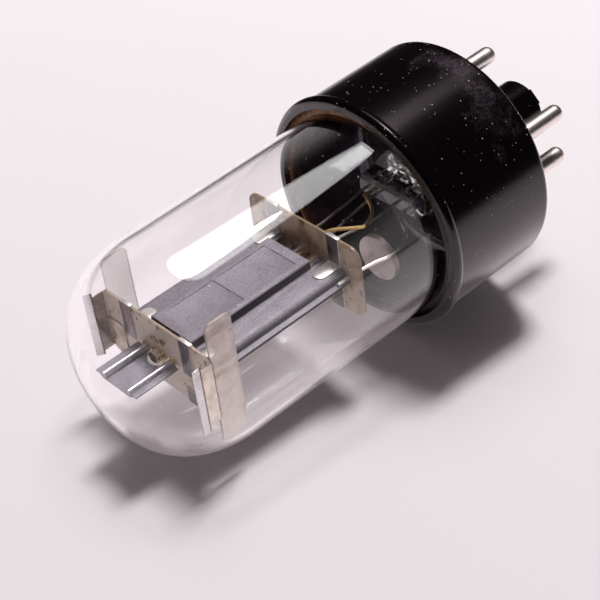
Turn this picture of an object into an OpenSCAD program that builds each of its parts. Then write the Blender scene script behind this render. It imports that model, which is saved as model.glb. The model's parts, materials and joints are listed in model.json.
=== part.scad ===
// Glass triode on an eight-position plug-in base, lying on its side.
// Every piece is built upright: z = 0 is the base's lower face, +z runs to
// the dome, -z along the pins, and +x is the side that lies uppermost.

/* [Glass envelope] */
// Outside diameter of the glass tube
bulb_d = 28.3; // [28:0.1:29.2]
// Thickness of the glass
bulb_wall = 0.7; // [0.5:0.05:0.9]
// Height of the top of the dome above the base's lower face
bulb_top = 60.8; // [60.5:0.1:66]
// Height of the rounded dome
dome_h = 12.6; // [11:0.1:13.5]
// Squareness of the dome, where 2 is an ellipse
dome_form = 2.25; // [2.1:0.05:2.6]
// Height of the seal ring at the foot of the glass
seal_z = 5.2; // [4.8:0.1:5.4]
// Radius of the seal ring
seal_r = 11.4; // [10.5:0.1:12]
// Height over which the foot of the glass draws in to the seal ring
foot_h = 4.0; // [3:0.1:5]
// Room for the cement between the glass and the base's wall
seat_gap = 0.95; // [0.6:0.05:1.3]
// Height over which the glass passes from the base's bore to the tube
neck_blend = 3; // [2:0.1:4]

/* [Stem] */
// Outside diameter of the stem tube
stem_d = 10; // [9.6:0.1:11]
// Thickness of the stem glass
stem_wall = 0.7; // [0.5:0.05:0.8]
// Height of the flare
flare_h = 2.6; // [2.2:0.1:2.8]
// Height of the top of the flattened press
press_top = 13.4; // [12.6:0.1:14]
// Height of the flattened press
press_h = 3.6; // [3:0.1:4.2]
// Thickness of the press
press_t = 2.8; // [2.2:0.1:3.4]
// Outside diameter of the exhaust tube
exhaust_d = 2.5; // [2:0.1:2.7]
// Bore of the exhaust tube
exhaust_bore = 1.4; // [1:0.1:1.6]
// Height of the exhaust tube's tip above the spigot's end wall
exhaust_up = 1.2; // [0.6:0.1:2]
// Length of the exhaust tube's drawn tip
exhaust_tip = 1.2; // [0.8:0.1:1.6]

/* [Base] */
// Diameter of the base's body
base_d = 32; // [31.4:0.1:32.6]
// Height of the base
base_h = 18; // [16.5:0.1:20]
// Thickness of the base's side wall
base_wall = 0.9; // [0.7:0.05:1]
// Thickness of the base's floor
base_floor = 2; // [1.5:0.1:2.4]
// Rounding of the lower edge
base_round = 0.9; // [0.5:0.1:1.4]
// Diameter over the bead round the rim
rim_d = 33; // [32.8:0.1:34]
// Height of the bead
rim_h = 1.7; // [1.2:0.1:2.2]
// Depth of the cement's top below the rim
cement_sunk = 0.9; // [0.4:0.1:1.6]
// Height of the cement ring
cement_h = 6; // [3:0.1:8]

/* [Spigot and key] */
// Diameter of the centre spigot
spigot_d = 7.8; // [7.4:0.1:8]
// Length of the spigot below the base
spigot_len = 13.2; // [12.6:0.1:14.4]
// Thickness of the spigot's wall
spigot_wall = 1.2; // [0.9:0.1:1.4]
// Chamfer of the spigot's end
spigot_round = 0.7; // [0.4:0.1:1]
// Width of the key rib
key_w = 2.2; // [1.8:0.1:2.6]
// How far the key rib stands out from the spigot
key_out = 1.1; // [0.8:0.1:1.3]
// Direction of the key, measured round the tube from the uppermost side
key_turn = -39; // [-44:1:-34]

/* [Pins] */
// Diameter of the pin circle
pin_circle = 17.45; // [17.2:0.05:17.7]
// Diameter of a pin
pin_d = 2.36; // [2.2:0.02:2.4]
// Length of a pin below the base
pin_len = 11.1; // [10.5:0.1:11.6]
// Thickness of the pin's tube
pin_wall = 0.35; // [0.3:0.01:0.4]
// Diameter of the hole in the pin's tip
pin_tip_hole = 0.9; // [0.7:0.1:1.1]
// Width of the shoulder that seats a pin against the base
pin_step = 0.18; // [0.17:0.01:0.22]
// Height of the staked collar above the base's floor
pin_collar_h = 0.5; // [0.3:0.1:0.8]
// How far the staked collar stands out from the pin
pin_collar_out = 0.45; // [0.3:0.05:0.6]
// Length of the pin's tube above its collar
pin_stub = 0.6; // [0.3:0.1:1]
// Depth of the solder above the pin's rounded end
solder_fill = 0.5; // [0.3:0.1:1.2]
// How far the solder bulges from the pin's tip
solder_bulge = 0.12; // [0.05:0.01:0.2]

/* [Mica plates] */
// Thickness of the mica
mica_t = 0.3; // [0.2:0.05:0.4]
// Height of the lower plate's underside
mica_low_z = 27.6; // [27:0.1:28.5]
// Room between the plates' ends and the glass
mica_edge = 3.16; // [3:0.02:3.6]
// Half width of the upper plate
mica_high_half_w = 4.75; // [4.4:0.05:5]
// Half width of the lower plate
mica_low_half_w = 5.3; // [5:0.05:5.6]
// Corner radius of the upper plate
mica_high_round = 0.7; // [0.4:0.1:1.6]
// Corner radius of the lower plate
mica_low_round = 1.6; // [0.8:0.1:2.4]
// Turn of the electrode cage from the uppermost side
cage_turn = 4.4; // [0:0.2:8]

/* [Spacers] */
// Height of a spacer strip
spacer_h = 3.8; // [3.2:0.1:4.2]
// Distance of a spacer from the plate's end
spacer_in = 0.7; // [0.5:0.05:0.9]
// Corner radius of a spacer
spacer_round = 0.8; // [0.6:0.1:1.2]
// Gap between the spacers and the glass
spacer_gap = 0.05; // [0.03:0.01:0.3]
// Width of the tab that passes through the plate
spacer_tab_w = 3; // [2:0.1:4]

/* [Brackets] */
// Thickness of the bracket's sheet
bracket_t = 0.15; // [0.1:0.01:0.2]
// Height of the bracket's upright
bracket_h = 1.75; // [1.4:0.05:2]
// Half length of the upright
bracket_half_l = 4.3; // [4:0.05:4.5]
// Width of the leaning lip
lip_w = 1.0; // [0.7:0.05:1.1]
// Half length of the leaning lip
lip_half_l = 4.9; // [4.6:0.05:5]
// Outward lean of the left lip
lip_lean_left = 32; // [0:1:34]
// Outward lean of the right lip
lip_lean_right = 4; // [0:1:34]
// Room between the bracket's foot and the straps
bracket_room = 0.3; // [0.1:0.05:0.8]
// Width of the foot
bracket_foot_w = 4; // [3:0.1:5]
// Distance of the foot's middle from the plate's middle
bracket_foot_y = 1.5; // [0:0.1:1.8]

/* [Anode] */
// Thickness of the anode's sheet
anode_t = 0.2; // [0.15:0.01:0.25]
// Half width of the raised box
box_half_w = 3.8; // [3.6:0.05:3.95]
// Height of the raised box above the seam
box_y = 2.45; // [2.2:0.05:2.8]
// Height of the wings above the seam
wing_y = 1.2; // [1.1:0.05:1.4]
// Radius of the wing's rounded edge
wing_round = 1.0; // [0.8:0.05:1.05]
// Width of the seam flange
flange_w = 0.8; // [0.6:0.05:0.9]
// Room between the seam flange and the spacers
flange_room = 1; // [0.6:0.05:1.2]
// Gap between the anode's ends and the mica
anode_gap = 0.2; // [0.17:0.01:0.3]
// Distance of the box from the wings' lower end
box_in_low = 2.4; // [1.8:0.1:2.8]
// Distance of the box from the wings' upper end
box_in_high = 1.6; // [1.2:0.1:2]
// Half width of the pressed panels
panel_half_w = 3.05; // [2.8:0.05:3.2]
// Depth of the pressed panels
panel_deep = 0.12; // [0.06:0.02:0.14]
// Margin between the panels and the box's ends
panel_margin = 1.3; // [1:0.1:1.6]
// Width of the rib between the two panels
panel_rib = 0.5; // [0.3:0.1:0.8]

/* [Straps] */
// Thickness of the straps
strap_t = 0.15; // [0.1:0.01:0.16]
// Width of the straps
strap_w = 2.0; // [1.6:0.1:2]
// Distance of the straps from the raised box
strap_in = 0.6; // [0.3:0.05:0.6]
// Length of the strap's foot on the wing
strap_foot = 3.4; // [2.8:0.1:3.8]
// Length of the leg folded over the front of the upper plate
strap_leg_long = 5.1; // [4:0.1:5.3]
// Length of the legs folded over the other edges
strap_leg_short = 2.2; // [1.6:0.1:2.8]

/* [Grid and cathode] */
// Distance of the grid rods from the middle
rod_x = 2.3; // [2.2:0.05:2.4]
// Diameter of the grid rods
rod_d = 0.9; // [0.7:0.05:0.95]
// Length of the rods above the upper plate
rod_above = 6.6; // [6:0.1:6.8]
// Room between the rods' ends and the dome
rod_room = 1.8; // [1.6:0.1:2.8]
// Length of the rods below the lower plate
rod_below = 2.2; // [1.8:0.1:3]
// Thickness of the grid wire
turn_t = 0.12; // [0.1:0.01:0.16]
// Gap between the grid's turns and the cathode
turn_gap = 0.25; // [0.15:0.05:0.35]
// Number of turns of the grid
turns = 16; // [12:1:20]
// Outside diameter of the cathode sleeve
cathode_d = 1.7; // [1.5:0.05:1.8]
// Thickness of the cathode sleeve
cathode_wall = 0.12; // [0.1:0.01:0.15]
// Length of the sleeve above the upper plate
cathode_above = 1.1; // [0.8:0.1:1.4]
// Length of the sleeve below the lower plate
cathode_below = 1.2; // [0.8:0.1:1.6]
// Diameter of a heater leg
heater_d = 0.5; // [0.4:0.05:0.6]
// Length of the heater below the sleeve
heater_below = 1.2; // [0.8:0.1:1.8]
// Height of the eyelets above the mica
eyelet_h = 0.25; // [0.15:0.05:0.4]
// Width of an eyelet's rim
eyelet_rim = 0.25; // [0.15:0.05:0.3]

/* [Cooling fin] */
// Thickness of the fin's sheet
fin_t = 0.2; // [0.15:0.01:0.25]
// Gap between the fin and the eyelets
fin_gap = 0.05; // [0.03:0.01:0.8]
// Half width over the fin
fin_half_w = 3.75; // [3.4:0.05:4]
// Radius of the notch round the cathode
fin_notch = 1.65; // [1.4:0.05:1.7]

/* [Leads and getter] */
// Diameter of the grid and heater leads
lead_d = 0.4; // [0.3:0.05:0.45]
// Diameter of the cathode and anode leads
lead_thick_d = 0.5; // [0.4:0.05:0.55]
// Diameter of the getter dish
dish_d = 6.2; // [5.6:0.1:6.6]
// Distance of the getter dish below the lower plate
dish_below = 6.8; // [5.6:0.1:7.6]
// Depth of the getter dish
dish_deep = 0.8; // [0.5:0.1:1]
// Thickness of the getter dish
dish_t = 0.15; // [0.1:0.01:0.2]

/* [Hidden] */
$fn = 64;
eps = 0.01;
fit = 0.02;                       // room between round faces that meet

bulb_r = bulb_d / 2;
bulb_in = bulb_r - bulb_wall;
base_r = base_d / 2;
rim_r = rim_d / 2;
shell_in = base_r - base_wall;
pin_r = pin_d / 2;
stem_r = stem_d / 2;
rod_r = rod_d / 2;
cathode_r = cathode_d / 2;
low_top = mica_low_z + mica_t;
rod_low = mica_low_z - rod_below;
rod_top = bulb_top - bulb_wall - rod_room;
high_top = rod_top - rod_above;
mica_high_z = high_top - mica_t;
fin_len = rod_above - eyelet_h - fin_gap;
wing_low = low_top + anode_gap;
wing_high = mica_high_z - anode_gap;
box_low = wing_low + box_in_low;
box_high = wing_high - box_in_high;
cathode_low = mica_low_z - cathode_below;
tube_low = seal_z + flare_h;
press_low = press_top - press_h;
pin_places = [2, 3, 5, 7, 8];
pin_tip = pin_r * 0.75;
pin_neck = pin_r - pin_step;
pin_ring = pin_circle / 2;
solder_top = -pin_len + pin_tip + solder_fill;
neck_r = shell_in - seat_gap;
neck_in = neck_r - bulb_wall;

// Points of the dome's skin, from its shoulder to its top
function dome_points(r, top, tall, n = 22) =
    [for (i = [0:n])
        let (a = 90 * i / n, z = tall * pow(sin(a), 2 / dome_form))
        [i == n ? 0 : r * pow(cos(a), 2 / dome_form), top - tall + z]];
// Radius of the dome at height z
function dome_at(z, r, top, tall) =
    z <= top - tall ? r
    : r * pow(1 - pow((z - top + tall) / tall, dome_form), 1 / dome_form);
// Points of the foot's skin, from the seal ring to the straight tube
function foot_points(r, up, n = 8) =
    [for (i = [0:n])
        let (a = 90 * i / n)
        [seal_r + (r - seal_r) * sin(a),
         seal_z + up + (foot_h - up) * (1 - cos(a))]];

// Sizes across the cage, from the glass inwards and from the box outwards
function dome_in(z) =
    dome_at(z, bulb_in, bulb_top - bulb_wall, dome_h - bulb_wall);
mica_half_l = dome_in(high_top) - mica_edge;
spacer_x = mica_half_l - spacer_in;
wing_half_w = spacer_x - flange_room - flange_w;
strap_x = box_half_w + strap_in + strap_w / 2;
bracket_foot = mica_half_l - strap_x - strap_w / 2 - bracket_room;

// Lean of the resting tube, on the rim's bead and the dome's shoulder
bead_r = rim_h / 2;
bead_at = [rim_r - bead_r, base_h - bead_r];
skin = dome_points(bulb_r, bulb_top, dome_h);
function lean_on(p) =
    atan2(p[1], p[0]) - acos(bead_r / norm(p));
lean = min([for (p = skin) lean_on(p - bead_at)]);
rest_drop = bead_at[0] * cos(lean) + bead_at[1] * sin(lean) + bead_r;
spigot_r = spigot_d / 2;
rest_right = spigot_len * cos(lean) + (spigot_r - spigot_round) * sin(lean);
rest_left = max([for (p = skin) p[1] * cos(lean) + p[0] * sin(lean)]);

module lie() {
    translate([(rest_left - rest_right) / 2, 0, rest_drop])
        rotate([0, -(90 + lean), 0])
            children();
}

// Frame of the electrode cage: x along the mica plates, y across them
module cage() {
    lie() rotate([0, 0, cage_turn - 90]) children();
}
function from_cage(p) =
    let (a = cage_turn - 90)
    [p[0] * cos(a) - p[1] * sin(a), p[0] * sin(a) + p[1] * cos(a), p[2]];
function around(a, r, z) = [r * cos(a), r * sin(a), z];
function pin_at(place) = key_turn + 22.5 + 45 * (place - 1);

// A round wire swept along a smooth line through some points
function mixed(a, b, c, d, t) =
    0.5 * (2 * b + (c - a) * t + (2 * a - 5 * b + 4 * c - d) * t * t
           + (3 * b - a - 3 * c + d) * t * t * t);
function smooth(p, n) =
    let (m = len(p) - 1)
    concat([for (i = [0:m - 1], k = [0:n - 1])
                mixed(p[max(i - 1, 0)], p[i], p[i + 1],
                      p[min(i + 2, m)], k / n)],
           [p[m]]);
function unit(v) = v / norm(v);
function tangent(p, i) =
    unit(p[min(i + 1, len(p) - 1)] - p[max(i - 1, 0)]);
function carried(u, t) = unit(u - (u * t) * t);
function sides(p, i, u) =
    i == len(p) ? []
    : let (w = carried(u, tangent(p, i)))
      concat([w], sides(p, i + 1, w));
module wire(points, d, n = 4, facets = 10) {
    p = smooth(points, n);
    first = tangent(p, 0);
    start = abs(first[0]) < 0.9 ? [1, 0, 0] : [0, 1, 0];
    u = sides(p, 0, carried(start, first));
    m = len(p);
    ring = [for (i = [0:m - 1])
            let (w = cross(tangent(p, i), u[i]))
            for (k = [0:facets - 1])
            p[i] + d / 2 * (cos(360 * k / facets) * u[i]
                            + sin(360 * k / facets) * w)];
    faces = concat(
        [[for (k = [0:facets - 1]) k]],
        [[for (k = [facets - 1:-1:0]) (m - 1) * facets + k]],
        [for (i = [0:m - 2], k = [0:facets - 1])
            let (a = i * facets + k, b = i * facets + (k + 1) % facets)
            [a, a + facets, b + facets, b]]);
    polyhedron(ring, faces, convexity = 6);
}

module rounded_plate(half_l, half_w, r) {
    difference() {
        square([2 * half_l, 2 * half_w], center = true);
        for (sx = [-1, 1], sy = [-1, 1])
            translate([sx * (half_l - r), sy * (half_w - r)])
                difference() {
                    translate([sx > 0 ? 0 : -2 * r, sy > 0 ? 0 : -2 * r])
                        square(2 * r);
                    circle(r);
                }
    }
}

// ---- Glass ----
module glass_bulb() {
    neck_top = base_h + neck_blend;
    bore = concat(foot_points(neck_in, bulb_wall),
                  [[neck_in, base_h], [bulb_in, neck_top]],
                  dome_points(bulb_in, bulb_top - bulb_wall,
                              dome_h - bulb_wall));
    color("azure", 0.3)
        lie() rotate_extrude()
            polygon(concat(foot_points(neck_r, 0),
                           [[neck_r, base_h], [bulb_r, neck_top]], skin,
                           [for (i = [len(bore) - 1:-1:0]) bore[i]]));
}

// Leads through the press, along the cage's x: grid, cathode, two heater
// leads and anode
lead_x = stem_r * [-0.74, -0.52, -0.33, 0.33, 0.74];
lead_bore = lead_thick_d / 2 + fit;
stem_cap = stem_wall;
function flare(wide, up, i, n = 8) =
    let (a = 90 * i / n)
    [seal_r - (seal_r - wide) * sin(a),
     seal_z + up + (flare_h - up) * (1 - cos(a))];
module stem_tube() {
    bore = stem_r - stem_wall;
    rotate_extrude()
        polygon(concat([for (i = [0:8]) flare(stem_r, bulb_wall, i)],
                       [[stem_r, press_low], [0, press_low],
                        [0, press_low - stem_cap],
                        [bore * 0.77, press_low - stem_cap],
                        [bore, press_low - stem_cap * 1.7]],
                       [for (i = [8:-1:0]) flare(bore, 0, i)]));
}
// The press flattens the tube from both sides, as two soft jaws do
module press() {
    rise = press_h * 0.7;
    jaw = [for (i = [0:8])
           let (a = 90 * i / 8)
           [stem_r - (stem_r - press_t / 2) * sin(a),
            press_low + rise * (1 - cos(a))]];
    edge = press_t / 7;
    half = concat(jaw, [[press_t / 2, press_top - edge],
                        [press_t / 2 - edge, press_top]]);
    root = press_low - stem_cap / 2;
    intersection() {
        translate([0, 0, root])
            cylinder(h = press_top - root, r = stem_r - fit);
        rotate([90, 0, 90])
            linear_extrude(2 * stem_r, center = true)
                polygon(concat([[-stem_r, root], [stem_r, root]],
                               half, [for (i = [len(half) - 1:-1:0])
                                      [-half[i][0], half[i][1]]]));
    }
}
// The exhaust tube is sealed at its tip, inside the spigot, and opens beside
// the press
module glass_stem() {
    tip_z = spigot_wall + exhaust_up + exhaust_tip - spigot_len;
    bore_end = press_low - stem_cap / 2;
    color("lightcyan", 0.4)
        lie() difference() {
            union() {
                stem_tube();
                rotate([0, 0, cage_turn - 90]) press();
                translate([0, 0, tip_z])
                    cylinder(h = press_low - stem_cap / 2 - tip_z,
                             r = exhaust_d / 2);
                translate([0, 0, tip_z - exhaust_tip])
                    cylinder(h = exhaust_tip, r1 = exhaust_d / 6,
                             r2 = exhaust_d / 2);
            }
            translate([0, 0, tip_z + exhaust_tip / 2])
                cylinder(h = bore_end - tip_z - exhaust_tip / 2,
                         r = exhaust_bore / 2);
            rotate([0, 0, cage_turn - 90]) {
                translate([0, 0, bore_end - exhaust_bore / 2])
                    rotate([-52, 0, 0])
                        cylinder(h = stem_r, r = exhaust_bore * 0.4);
                for (x = lead_x)
                    translate([x, 0, tube_low])
                        cylinder(h = press_top, r = lead_bore);
            }
        }
}

// ---- Base ----
module base_outline() {
    difference() {
        union() {
            square([base_r, bead_at[1]]);
            translate(bead_at) circle(bead_r);
            translate([0, base_h - rim_h])
                square([bead_at[0], rim_h]);
        }
        translate([-1, base_floor])
            square([shell_in + 1, base_h]);
        translate([base_r - base_round, base_round])
            difference() {
                translate([0, -base_round - 1])
                    square(base_round + 1);
                circle(base_round);
            }
    }
}
module base_shell() {
    color("#17131a")
        lie() difference() {
            union() {
                rotate_extrude() base_outline();
                translate([0, 0, spigot_round - spigot_len])
                    cylinder(h = spigot_len, r = spigot_r);
                translate([0, 0, -spigot_len])
                    cylinder(h = spigot_round, r1 = spigot_r - spigot_round,
                             r2 = spigot_r);
                rotate([0, 0, key_turn])
                    translate([0, -key_w / 2, 2 * spigot_round - spigot_len])
                        cube([spigot_r + key_out, key_w,
                              spigot_len - spigot_round]);
            }
            translate([0, 0, spigot_wall - spigot_len])
                cylinder(h = spigot_len + base_h, r = spigot_r - spigot_wall);
            for (k = pin_places)
                rotate([0, 0, pin_at(k)])
                    translate([pin_ring, 0, -base_floor])
                        cylinder(h = 3 * base_floor, r = pin_neck + fit);
        }
}
module base_cement() {
    top = base_h - cement_sunk;
    color("saddlebrown")
        lie() rotate_extrude()
            polygon([[neck_r + fit, top - cement_h],
                     [shell_in - fit, top - cement_h],
                     [shell_in - fit, top],
                     [neck_r + fit, top + seat_gap / 3]]);
}

// ---- Pins ----
// Rounded end of a pin, as an arc that meets the pin's side
module pin_end(r, h) {
    flat = r * 0.45;
    polygon(concat([[0, eps], [r, eps]],
                   [for (i = [0:8])
                    let (a = 90 * i / 8)
                    [flat + (r - flat) * cos(a), -h * sin(a)]],
                   [[0, -h]]));
}
module pin(place) {
    shank = pin_len - pin_tip;
    color("silver")
        lie() rotate([0, 0, pin_at(place)])
            translate([pin_ring, 0, -shank])
                difference() {
                    union() {
                        cylinder(h = shank, r = pin_r);
                        cylinder(h = shank + base_floor + pin_collar_h
                                     + pin_stub, r = pin_neck);
                        rotate_extrude() pin_end(pin_r, pin_tip);
                        translate([0, 0, shank + base_floor])
                            cylinder(h = pin_collar_h,
                                     r = pin_r + pin_collar_out);
                    }
                    cylinder(h = 3 * pin_len, r = pin_r - pin_wall);
                    translate([0, 0, -pin_len])
                        cylinder(h = 2 * pin_len, r = pin_tip_hole / 2);
                }
}
module pin_solder() {
    hole = pin_tip_hole / 2 - fit;
    bore = pin_r - pin_wall - fit;
    color("gainsboro")
        lie() for (k = pin_places)
            rotate([0, 0, pin_at(k)])
                translate([pin_ring, 0, -pin_len])
                    rotate_extrude()
                        polygon([[0, -solder_bulge],
                                 [hole * 0.6, -solder_bulge * 0.75],
                                 [hole, 0], [hole, pin_tip], [bore, pin_tip],
                                 [bore, pin_tip + solder_fill * 0.6],
                                 [0, pin_tip + solder_fill]]);
}

// ---- Mica ----
module plate_holes() {
    for (s = [-1, 1]) translate([s * rod_x, 0]) circle(rod_r + fit);
    circle(cathode_r + fit);
}
anode_lead_at = [wing_half_w + flange_w / 2, anode_t + lead_thick_d / 2];
module mica_upper() {
    color("tan", 0.6)
        cage() translate([0, 0, mica_high_z])
            linear_extrude(mica_t) difference() {
                rounded_plate(mica_half_l, mica_high_half_w,
                              mica_high_round);
                plate_holes();
                for (s = [-1, 1])
                    translate([s * (spacer_x + mica_t / 2), 0])
                        square([mica_t, spacer_tab_w], center = true);
            }
}
module mica_lower() {
    color("tan", 0.6)
        cage() translate([0, 0, mica_low_z])
            linear_extrude(mica_t) difference() {
                rounded_plate(mica_half_l, mica_low_half_w, mica_low_round);
                plate_holes();
                translate(anode_lead_at) circle(lead_thick_d / 2 + fit);
            }
}
module spacer(side) {
    x_out = spacer_x + mica_t;
    reach = dome_in(mica_high_z - spacer_round / 2) - spacer_gap;
    half = sqrt(reach * reach - x_out * x_out);
    color("antiquewhite", 0.6)
        cage() translate([side * (spacer_x + mica_t / 2), 0,
                          mica_high_z - spacer_h / 2])
            rotate([90, 0, 90])
                linear_extrude(mica_t, center = true) {
                    rounded_plate(half, spacer_h / 2, spacer_round);
                    translate([-spacer_tab_w / 2, 0])
                        square([spacer_tab_w, spacer_h / 2 + mica_t]);
                }
}

// ---- Brackets on the upper plate ----
module bracket(side, lip_lean) {
    color("rosybrown")
        cage() mirror([side < 0 ? 1 : 0, 0, 0])
            translate([mica_half_l, 0, high_top]) {
                translate([-bracket_foot,
                           -bracket_foot_y - bracket_foot_w / 2, 0])
                    cube([bracket_foot + bracket_t, bracket_foot_w,
                          bracket_t]);
                translate([0, -bracket_half_l, 0])
                    cube([bracket_t, 2 * bracket_half_l, bracket_h]);
                translate([0, -lip_half_l, bracket_h - bracket_t])
                    rotate([0, lip_lean, 0])
                        cube([bracket_t, 2 * lip_half_l,
                              lip_w + bracket_t]);
            }
}

// ---- Straps: a foot on the wing, a riser on the plate, a fold over its
// edge and a leg on its other face; z = 0 is the plate's face ----
module strap(x, half_w, leg) {
    t = strap_t;
    foot = strap_foot - strap_w / 2;
    translate([x, wing_y + t, -anode_gap - foot]) rotate([90, 0, 0])
        linear_extrude(t) {
            circle(strap_w / 2);
            translate([-strap_w / 2, 0])
                square([strap_w, foot + anode_gap]);
        }
    translate([x, 0, 0]) rotate([0, -90, 0])
        linear_extrude(strap_w, center = true)
            polygon([[-t, wing_y], [0, wing_y], [0, half_w],
                     [mica_t, half_w], [mica_t, half_w - leg],
                     [mica_t + t, half_w - leg], [mica_t + t, half_w + t],
                     [-t, half_w + t]]);
}
module strap_set(half_w, front_leg, back_leg) {
    for (s = [-1, 1]) {
        strap(s * strap_x, half_w, front_leg);
        mirror([0, 1, 0]) strap(s * strap_x, half_w, back_leg);
    }
}
module straps_upper() {
    color("dimgray")
        cage() translate([0, 0, mica_high_z])
            strap_set(mica_high_half_w, strap_leg_long, strap_leg_short);
}
module straps_lower() {
    color("dimgray")
        cage() translate([0, 0, low_top]) mirror([0, 0, 1])
            strap_set(mica_low_half_w, strap_leg_short, strap_leg_short);
}

// ---- Anode: a pressed box between two wings with rounded edges ----
function arc(cx, cy, r, a0, a1, n = 6) =
    [for (i = [0:n])
     let (a = a0 + (a1 - a0) * i / n)
     [cx + r * cos(a), cy + r * sin(a)]];
function backwards(p) = [for (i = [len(p) - 1:-1:0]) p[i]];
function wing_line(t) =
    concat([[box_half_w - anode_t, wing_y - t]],
           arc(wing_half_w - wing_round, wing_y - wing_round,
               wing_round - t, 90, 0));
module wing_section() {
    end = wing_half_w + flange_w;
    polygon(concat(wing_line(0), [[wing_half_w, anode_t], [end, anode_t],
                                  [end, 0], [wing_half_w - anode_t, 0]],
                   backwards(wing_line(anode_t))));
}
module box_section() {
    r = anode_t + 0.15;
    cx = box_half_w - r;
    cy = box_y - r;
    polygon(concat([[0, box_y]], arc(cx, cy, r, 90, 0),
                   [[box_half_w, wing_y - anode_t],
                    [box_half_w - anode_t, wing_y - anode_t]],
                   arc(cx, cy, r - anode_t, 0, 90),
                   [[0, box_y - anode_t]]));
}
module anode_half() {
    span = box_high - box_low;
    panel_h = (span - 2 * panel_margin - panel_rib) / 2;
    difference() {
        union() {
            for (s = [0, 1]) mirror([s, 0, 0]) {
                translate([0, 0, wing_low])
                    linear_extrude(wing_high - wing_low) wing_section();
                translate([0, 0, box_low])
                    linear_extrude(span) box_section();
            }
            for (k = [0, 1])
                translate([-panel_half_w, box_y - anode_t - panel_deep,
                           box_low + panel_margin
                           + k * (panel_h + panel_rib)])
                    cube([2 * panel_half_w, anode_t, panel_h]);
        }
        for (k = [0, 1])
            translate([-panel_half_w + anode_t, box_y - panel_deep,
                       box_low + panel_margin + anode_t
                       + k * (panel_h + panel_rib)])
                cube([2 * (panel_half_w - anode_t), 1,
                      panel_h - 2 * anode_t]);
    }
}
module anode_front() {
    color("slategray") cage() anode_half();
}
module anode_back() {
    color("slategray") cage() mirror([0, 1, 0]) anode_half();
}

// ---- Grid, fin and cathode ----
module grid_rod(side) {
    color("gray")
        cage() translate([side * rod_x, 0, rod_low])
            cylinder(h = rod_top - rod_low, r = rod_r);
}
// Outline of a turn: drawn tight from rod to rod, over the cathode
module turn_outline(r_rod, r_mid) {
    a = asin((r_mid - r_rod) / rod_x);
    far = rod_x + r_rod * sin(a);
    circle(r_mid);
    for (s = [-1, 1]) translate([s * rod_x, 0]) circle(r_rod);
    polygon([[far, r_rod * cos(a)], [r_mid * sin(a), r_mid * cos(a)],
             [-r_mid * sin(a), r_mid * cos(a)], [-far, r_rod * cos(a)],
             [-far, -r_rod * cos(a)], [-r_mid * sin(a), -r_mid * cos(a)],
             [r_mid * sin(a), -r_mid * cos(a)], [far, -r_rod * cos(a)]]);
}
module grid_winding() {
    first = box_low + 1;
    pitch = (box_high - box_low - 2) / turns;
    mid = cathode_r + turn_gap;
    color("goldenrod")
        cage() for (i = [0:turns])
            translate([0, 0, first + i * pitch - turn_t / 2])
                linear_extrude(turn_t) difference() {
                    turn_outline(rod_r + fit + turn_t, mid + turn_t);
                    turn_outline(rod_r + fit, mid);
                }
}
module fin_section() {
    trough = rod_r + fit;
    for (s = [0, 1]) mirror([s, 0]) {
        translate([0, -trough - fin_t]) square([rod_x, fin_t]);
        translate([rod_x, 0]) difference() {
            circle(trough + fin_t);
            circle(trough);
            translate([-2, 0]) square(4);
            translate([-4, -2]) square(4);
        }
        translate([rod_x + trough, -fin_t])
            square([fin_half_w - rod_x - trough, fin_t]);
    }
}
module grid_fin() {
    color("lightslategray")
        cage() difference() {
            translate([0, 0, rod_top - fin_len])
                linear_extrude(fin_len) fin_section();
            translate([0, 2, high_top])
                rotate([90, 0, 0]) cylinder(h = 6, r = fin_notch);
        }
}
module cathode_sleeve() {
    color("wheat")
        cage() translate([0, 0, cathode_low])
            linear_extrude(high_top + cathode_above - cathode_low)
                difference() {
                    circle(cathode_r);
                    circle(cathode_r - cathode_wall);
                }
}
heater_x = heater_d / 2 + 3 * fit;
heater_low = cathode_low - heater_below;
module heater() {
    tall = mica_high_z - heater_d - heater_x - heater_low;
    color("white")
        cage() {
            for (s = [-1, 1])
                translate([s * heater_x, 0, heater_low])
                    cylinder(h = tall, r = heater_d / 2);
            translate([0, 0, heater_low + tall])
                rotate([90, 0, 0])
                    rotate_extrude(angle = 180)
                        translate([heater_x, 0])
                            circle(heater_d / 2);
        }
}
module eyelet(x, r) {
    for (z = [mica_low_z - eyelet_h, high_top])
        translate([x, 0, z]) linear_extrude(eyelet_h) difference() {
            circle(r + eyelet_rim);
            circle(r + fit);
        }
}
module eyelets() {
    color("gold")
        cage() {
            for (s = [-1, 1]) eyelet(s * rod_x, rod_r);
            eyelet(0, cathode_r);
        }
}

// ---- Leads: from the cage, through the press and into the pins ----
// The press holds a lead straight, then it goes round to its pin
// down = 0 at the rods' lower ends and 1 at the press, up = height above
// the base's floor as a share of the room below the seal
drop = rod_low - press_top;
room = seal_z - base_floor;
function down(k) = rod_low - drop * k;
function up(k) = base_floor + room * k;
function through_press(i) =
    [for (z = [down(0.9), down(0.95), press_top - press_h / 2,
               press_low - stem_cap, tube_low + stem_cap, tube_low])
     from_cage([lead_x[i], 0, z])];
function into_pin(place) =
    [for (z = [up(0.65), up(0.4), 0, solder_top / 2, solder_top])
     around(pin_at(place), pin_ring, z)];

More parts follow.
